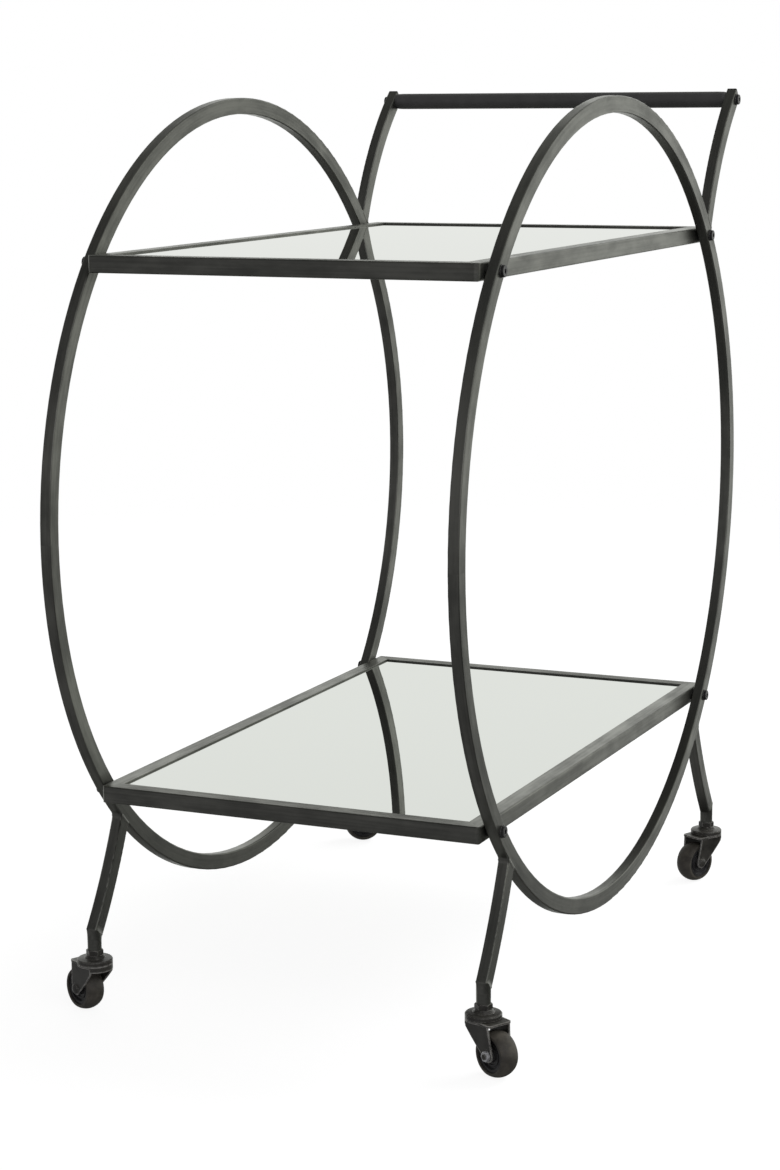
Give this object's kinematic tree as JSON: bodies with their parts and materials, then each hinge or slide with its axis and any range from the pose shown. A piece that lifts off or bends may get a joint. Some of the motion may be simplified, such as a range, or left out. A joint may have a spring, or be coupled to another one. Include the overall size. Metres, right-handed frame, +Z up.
{
  "type": "bar cart",
  "caption": "Bar cart of hooped rectangular tube with framed mirror shelves, a push bar and curved legs on swivel casters.",
  "frame": {"origin": "on the floor, midway between the two hoops and under their centres; the bottom centre of the bounding box", "axes": "+Z up, +Y towards the push bar (rear), +X to the right when seen from the front"},
  "size_m": [0.4427, 0.74, 0.8074],
  "materials": {
    "frame_steel": "gunmetal lacquer over brushed tube, satin",
    "bar_black": "matt black powder coat",
    "fastener_black": "black oxide, worn edges",
    "caster_black": "black electrocoat, semi-gloss",
    "zinc": "bright zinc plate",
    "mirror": "4 mm silvered glass",
    "pad_rubber": "soft clear-black bumpers",
    "plug_plastic": "moulded, matt",
    "wheel_plastic": "moulded nylon, semi-gloss",
    "tyre": "moulded tread, dusty"
  },
  "bodies": {
    "cart": {"ring_left": "frame_steel", "ring_right": "frame_steel", "handle_upright_left": "frame_steel", "handle_upright_right": "frame_steel", "upright_caps": "plug_plastic", "handle_bar": "bar_black", "handle_bar_plugs": "zinc", "handle_bolts": "fastener_black", "shelf_frame_upper": "frame_steel", "shelf_frame_lower": "frame_steel", "mirror_upper": "mirror", "mirror_lower": "mirror", "mirror_lugs": "frame_steel", "mirror_pads": "pad_rubber", "shelf_bolts": "fastener_black", "bolt_washers": "fastener_black", "shelf_spacers": "fastener_black", "shelf_inserts": "zinc", "leg_front_left": "frame_steel", "leg_front_right": "frame_steel", "leg_rear_left": "frame_steel", "leg_rear_right": "frame_steel", "leg_sockets": "frame_steel", "stem_nuts": "caster_black", "caster_stem_front_left": "caster_black", "caster_stem_front_right": "caster_black", "caster_stem_rear_left": "caster_black", "caster_stem_rear_right": "caster_black", "raceway_front_left": "caster_black", "raceway_front_right": "caster_black", "raceway_rear_left": "caster_black", "raceway_rear_right": "caster_black", "swivel_balls": "zinc"},
    "caster_front_left": {"fork_front_left": "caster_black", "axle_bolt_front_left": "caster_black", "axle_nut_front_left": "zinc", "axle_sleeve_front_left": "zinc"},
    "caster_front_right": {"fork_front_right": "caster_black", "axle_bolt_front_right": "caster_black", "axle_nut_front_right": "zinc", "axle_sleeve_front_right": "zinc"},
    "caster_rear_left": {"fork_rear_left": "caster_black", "axle_bolt_rear_left": "caster_black", "axle_nut_rear_left": "zinc", "axle_sleeve_rear_left": "zinc"},
    "caster_rear_right": {"fork_rear_right": "caster_black", "axle_bolt_rear_right": "caster_black", "axle_nut_rear_right": "zinc", "axle_sleeve_rear_right": "zinc"},
    "wheel_front_left": {"wheel_core_front_left": "wheel_plastic", "tyre_front_left": "tyre"},
    "wheel_front_right": {"wheel_core_front_right": "wheel_plastic", "tyre_front_right": "tyre"},
    "wheel_rear_left": {"wheel_core_rear_left": "wheel_plastic", "tyre_rear_left": "tyre"},
    "wheel_rear_right": {"wheel_core_rear_right": "wheel_plastic", "tyre_rear_right": "tyre"}
  },
  "joints": [
    {"name": "swivel_front_left", "type": "hinge", "parent": "cart", "child": "caster_front_left", "pos_m": [-0.1865, -0.30734, 0.045], "axis": [0, 0, 1], "continuous": true},
    {"name": "roll_front_left", "type": "hinge", "parent": "caster_front_left", "child": "wheel_front_left", "pos_m": [-0.20209, -0.2994, 0.02], "axis": [-0.454, -0.891, 0], "continuous": true},
    {"name": "swivel_front_right", "type": "hinge", "parent": "cart", "child": "caster_front_right", "pos_m": [0.1865, -0.30734, 0.045], "axis": [0, 0, 1], "continuous": true},
    {"name": "roll_front_right", "type": "hinge", "parent": "caster_front_right", "child": "wheel_front_right", "pos_m": [0.20181, -0.31582, 0.02], "axis": [0.4848, 0.8746, 0], "continuous": true},
    {"name": "swivel_rear_left", "type": "hinge", "parent": "cart", "child": "caster_rear_left", "pos_m": [-0.1865, 0.30734, 0.045], "axis": [0, 0, 1], "continuous": true},
    {"name": "roll_rear_left", "type": "hinge", "parent": "caster_rear_left", "child": "wheel_rear_left", "pos_m": [-0.20181, 0.29886, 0.02], "axis": [0.4848, -0.8746, 0], "continuous": true},
    {"name": "swivel_rear_right", "type": "hinge", "parent": "cart", "child": "caster_rear_right", "pos_m": [0.1865, 0.30734, 0.045], "axis": [0, 0, 1], "continuous": true},
    {"name": "roll_rear_right", "type": "hinge", "parent": "caster_rear_right", "child": "wheel_rear_right", "pos_m": [0.17938, 0.29135, 0.02], "axis": [0.9135, -0.4067, 0], "continuous": true}
  ]
}
